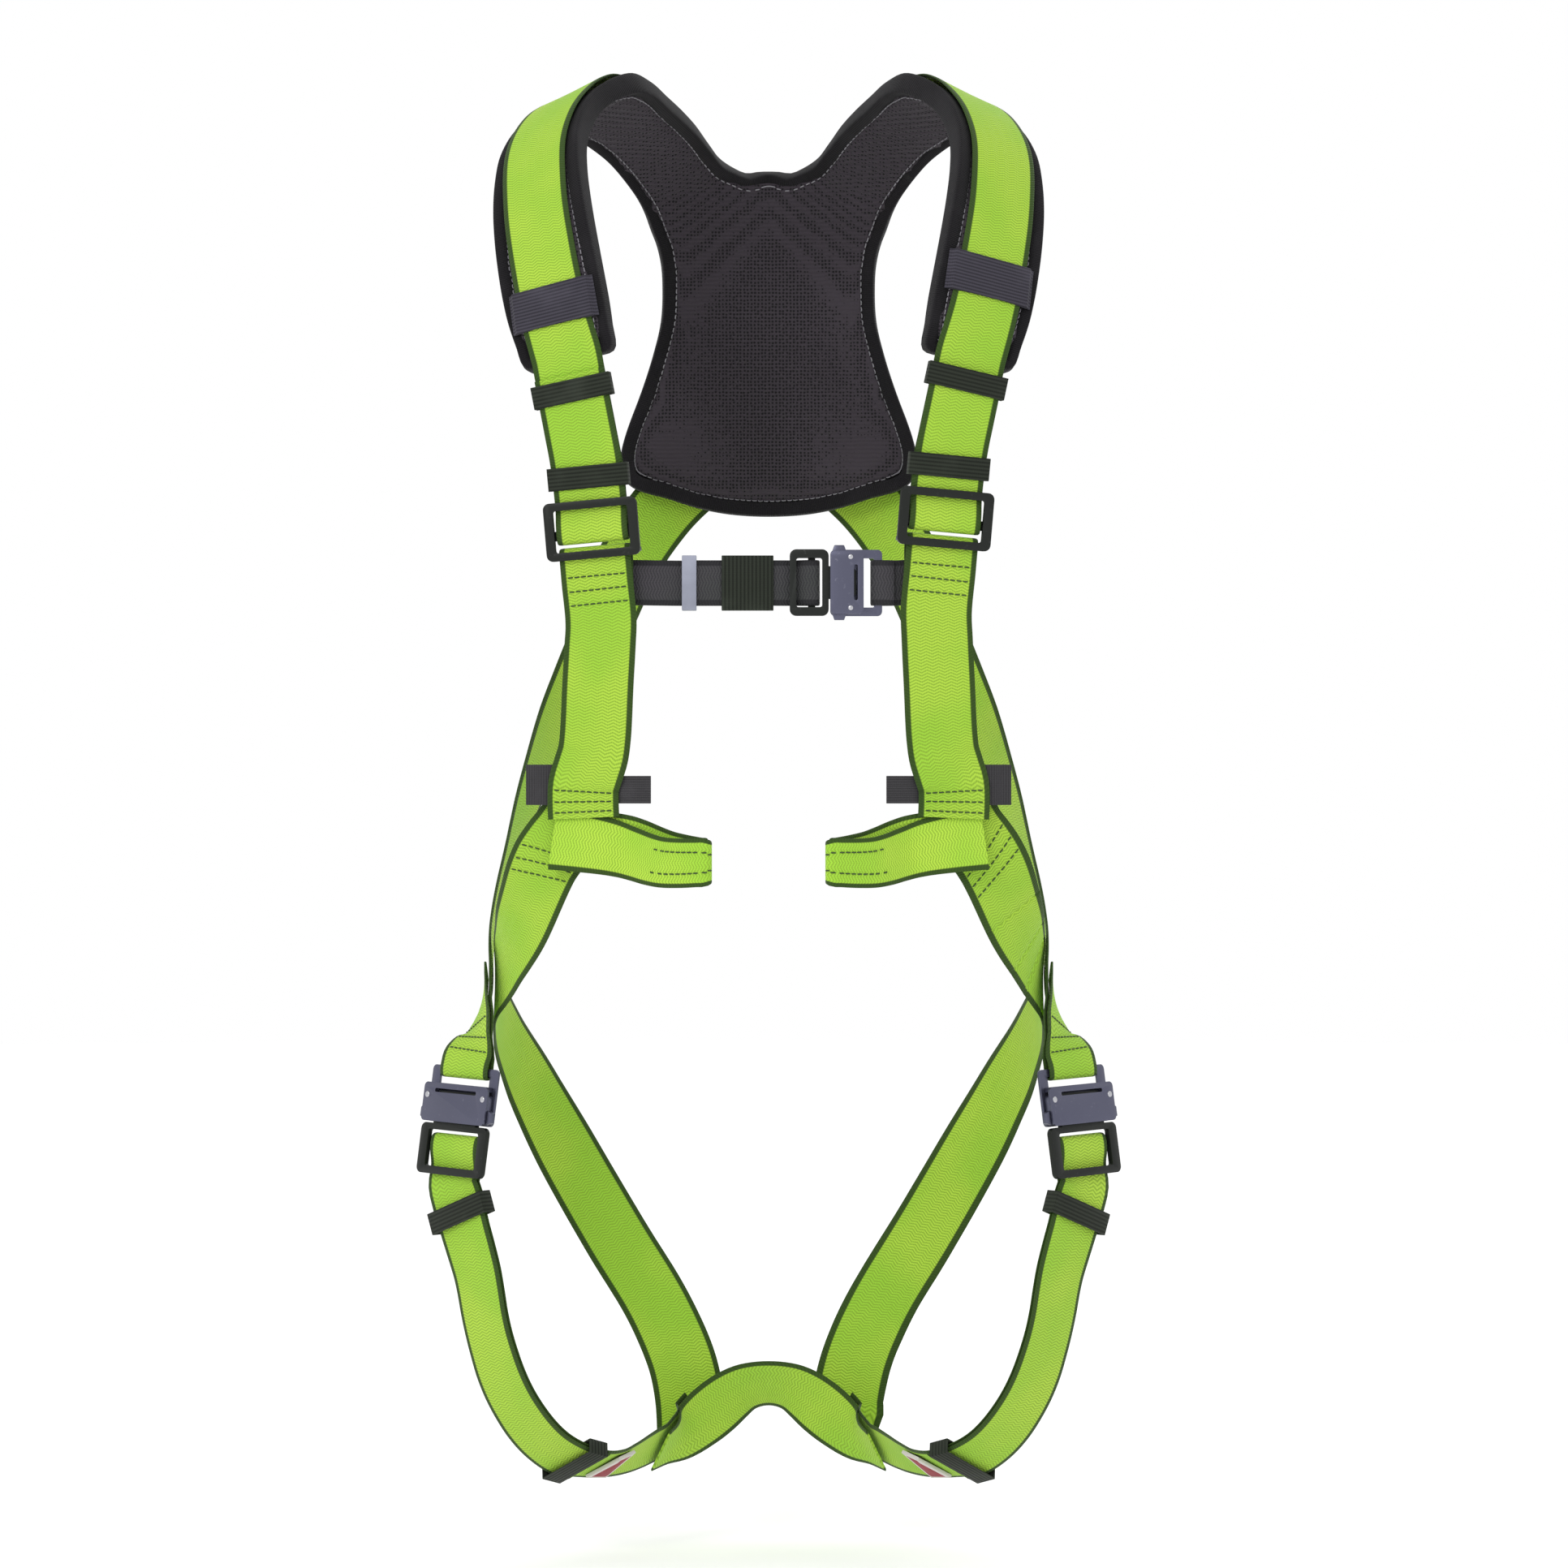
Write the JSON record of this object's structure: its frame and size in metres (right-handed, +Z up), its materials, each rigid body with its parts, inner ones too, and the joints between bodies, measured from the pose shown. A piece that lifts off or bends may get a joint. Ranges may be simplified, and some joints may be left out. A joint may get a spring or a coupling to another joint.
{
  "type": "full-body fall-arrest harness",
  "caption": "Full-body harness: padded yoke with a dorsal ring, shoulder straps with adjusters, sternal strap, textile front loops and two buckled leg loops.",
  "frame": {"origin": "on the harness's middle plane, at the height of the shoulder pads' crowns, midway between front and back straps", "axes": "+Z up along the wearer's spine, -Y the way the wearer faces, -X the wearer's right side"},
  "size_m": [0.446, 0.2908, 0.8983],
  "materials": {
    "webbing": "woven webbing, satin",
    "loop_webbing": "woven webbing, satin",
    "sternal_webbing": "woven webbing, matt",
    "pad_mesh": "mesh, matt",
    "pad_cover": "cloth, matt",
    "foam": "foam, matt",
    "binding": "woven tape",
    "elastic": "ribbed elastic",
    "tag": "coated cloth",
    "red_label": "printed cloth",
    "black_steel": "black, satin",
    "buckle_steel": "grey, satin",
    "bright_steel": "satin",
    "plate_plastic": "moulded, satin"
  },
  "bodies": {
    "harness": {"yoke_cover": "pad_cover", "yoke_foam": "foam", "yoke_lining": "pad_mesh", "yoke_binding": "binding", "dorsal_plate": "plate_plastic", "seat_strap": "webbing", "chest_buckle_base": "buckle_steel", "chest_buckle_cover": "buckle_steel", "sternal_strap_long": "sternal_webbing", "sternal_strap_short": "sternal_webbing", "right_main_strap": "webbing", "right_adjuster_frame": "black_steel", "right_keeper_low": "elastic", "right_keeper_high": "elastic", "right_pad_band": "elastic", "right_chest_strap": "webbing", "right_front_loop": "loop_webbing", "right_hip_strap": "webbing", "right_inner_tag": "tag", "right_outer_tag": "tag", "right_thigh_strap": "webbing", "right_thigh_keeper_low": "elastic", "right_red_label": "red_label", "right_leg_buckle_base": "buckle_steel", "right_leg_buckle_cover": "buckle_steel", "left_main_strap": "webbing", "left_adjuster_frame": "black_steel", "left_keeper_low": "elastic", "left_keeper_high": "elastic", "left_pad_band": "elastic", "left_chest_strap": "webbing", "left_front_loop": "loop_webbing", "left_hip_strap": "webbing", "left_inner_tag": "tag", "left_outer_tag": "tag", "left_thigh_strap": "webbing", "left_thigh_keeper_low": "elastic", "left_red_label": "red_label", "left_leg_buckle_base": "buckle_steel", "left_leg_buckle_cover": "buckle_steel"},
    "dorsal_ring": {"dorsal_d_ring": "bright_steel"},
    "chest_tongue": {"chest_buckle_tongue": "black_steel", "sternal_keeper": "elastic", "sternal_sleeve": "tag"},
    "chest_bar": {"chest_buckle_bar": "black_steel"},
    "chest_lever_a": {"chest_buckle_lever_a": "buckle_steel"},
    "chest_lever_b": {"chest_buckle_lever_b": "buckle_steel"},
    "right_tongue": {"right_leg_buckle_tongue": "black_steel", "right_thigh_keeper_high": "elastic"},
    "right_leg_bar": {"right_leg_buckle_bar": "black_steel"},
    "right_lever_a": {"right_leg_buckle_lever_a": "buckle_steel"},
    "right_lever_b": {"right_leg_buckle_lever_b": "buckle_steel"},
    "right_slide": {"right_adjuster_bar": "black_steel"},
    "left_tongue": {"left_leg_buckle_tongue": "black_steel", "left_thigh_keeper_high": "elastic"},
    "left_leg_bar": {"left_leg_buckle_bar": "black_steel"},
    "left_lever_a": {"left_leg_buckle_lever_a": "buckle_steel"},
    "left_lever_b": {"left_leg_buckle_lever_b": "buckle_steel"},
    "left_slide": {"left_adjuster_bar": "black_steel"}
  },
  "joints": [
    {"name": "dorsal_ring_lift", "type": "hinge", "parent": "harness", "child": "dorsal_ring", "pos_m": [0, 0.1263, -0.15], "axis": [1, 0, 0], "range_deg": [0, 150]},
    {"name": "chest_tongue_release", "type": "slide", "parent": "harness", "child": "chest_tongue", "axis": [-1, 0, 0], "range_m": [0, 0.02], "deforming": ["sternal_strap_long"]},
    {"name": "chest_bar_slide", "type": "slide", "parent": "chest_tongue", "child": "chest_bar", "axis": [-1, 0, 0], "range_m": [0, 0.0015]},
    {"name": "chest_lever_a_press", "type": "hinge", "parent": "harness", "child": "chest_lever_a", "pos_m": [0.0505, -0.11153, -0.30526], "axis": [0, -0.9996, 0.03], "range_deg": [0, 8], "stiffness_Nm_per_rad": 0.02, "springref_deg": -9.74},
    {"name": "chest_lever_b_press", "type": "hinge", "parent": "harness", "child": "chest_lever_b", "pos_m": [0.0505, -0.11247, -0.33674], "axis": [0, 0.9996, -0.03], "range_deg": [0, 8], "stiffness_Nm_per_rad": 0.02, "springref_deg": -9.74},
    {"name": "right_tongue_release", "type": "slide", "parent": "harness", "child": "right_tongue", "axis": [-0.1188, -0.0792, -0.9898], "range_m": [0, 0.02], "deforming": ["right_thigh_strap"]},
    {"name": "right_leg_bar_slide", "type": "slide", "parent": "right_tongue", "child": "right_leg_bar", "axis": [-0.1188, -0.0792, -0.9898], "range_m": [0, 0.002]},
    {"name": "right_leg_lever_a_press", "type": "hinge", "parent": "harness", "child": "right_lever_a", "pos_m": [-0.21133, -0.01988, -0.64198], "axis": [-0.7073, -0.6928, 0.1403], "range_deg": [0, 8], "stiffness_Nm_per_rad": 0.02, "springref_deg": -9.74},
    {"name": "right_leg_lever_b_press", "type": "hinge", "parent": "harness", "child": "right_lever_b", "pos_m": [-0.17475, -0.05751, -0.64336], "axis": [0.7073, 0.6928, -0.1403], "range_deg": [0, 8], "stiffness_Nm_per_rad": 0.02, "springref_deg": -9.74},
    {"name": "right_adjuster_bar_slide", "type": "slide", "parent": "harness", "child": "right_slide", "axis": [-0.0847, -0.01, 0.9964], "range_m": [0, 0.0025]},
    {"name": "left_tongue_release", "type": "slide", "parent": "harness", "child": "left_tongue", "axis": [0.1188, -0.0792, -0.9898], "range_m": [0, 0.02], "deforming": ["left_thigh_strap"]},
    {"name": "left_leg_bar_slide", "type": "slide", "parent": "left_tongue", "child": "left_leg_bar", "axis": [0.1188, -0.0792, -0.9898], "range_m": [0, 0.002]},
    {"name": "left_leg_lever_a_press", "type": "hinge", "parent": "harness", "child": "left_lever_a", "pos_m": [0.17475, -0.05751, -0.64336], "axis": [0.7073, -0.6928, 0.1403], "range_deg": [0, 8], "stiffness_Nm_per_rad": 0.02, "springref_deg": -9.74},
    {"name": "left_leg_lever_b_press", "type": "hinge", "parent": "harness", "child": "left_lever_b", "pos_m": [0.21133, -0.01988, -0.64198], "axis": [-0.7073, 0.6928, -0.1403], "range_deg": [0, 8], "stiffness_Nm_per_rad": 0.02, "springref_deg": -9.74},
    {"name": "left_adjuster_bar_slide", "type": "slide", "parent": "harness", "child": "left_slide", "axis": [0.0847, -0.01, 0.9964], "range_m": [0, 0.0025]}
  ]
}
